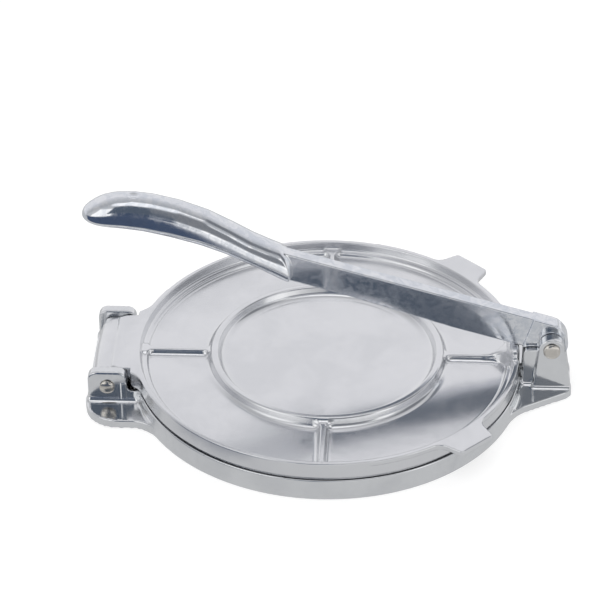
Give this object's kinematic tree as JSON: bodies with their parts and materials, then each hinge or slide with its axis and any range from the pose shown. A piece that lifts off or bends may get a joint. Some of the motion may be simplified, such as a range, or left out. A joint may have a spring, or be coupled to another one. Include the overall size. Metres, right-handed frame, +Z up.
{
  "type": "tortilla press",
  "caption": "Cast aluminium tortilla press: hinged round plates squeezed together by a long lever with a wide curved grip.",
  "frame": {"origin": "middle of the closed press's footprint, on the table", "axes": "+X from the hinge to the lever's pivot, +Y to the back, +Z up"},
  "size_m": [0.26, 0.2094, 0.1154],
  "materials": {
    "base_casting": "satin tumbled casting",
    "plate_casting": "satin, finely turned casting",
    "lever_casting": "polished",
    "rivet_steel": "plain bright rivet"
  },
  "bodies": {
    "base": {"base_plate": "base_casting", "hinge_pin": "rivet_steel", "lever_pin": "rivet_steel"},
    "top": {"upper_plate": "plate_casting"},
    "handle": {"lever": "lever_casting"}
  },
  "joints": [
    {"name": "lever_swing", "type": "hinge", "parent": "base", "child": "handle", "pos_m": [0.11831, 0, 0.0289], "axis": [0, 1, 0], "range_deg": [0, 165]},
    {"name": "plate_lift", "type": "hinge", "parent": "base", "child": "top", "pos_m": [-0.11749, 0, 0.0142], "axis": [0, -1, 0], "range_deg": [0, 180]}
  ],
  "couplings": [
    {"joint": "plate_lift", "follows": "lever_swing", "ratio": 0.075}
  ]
}
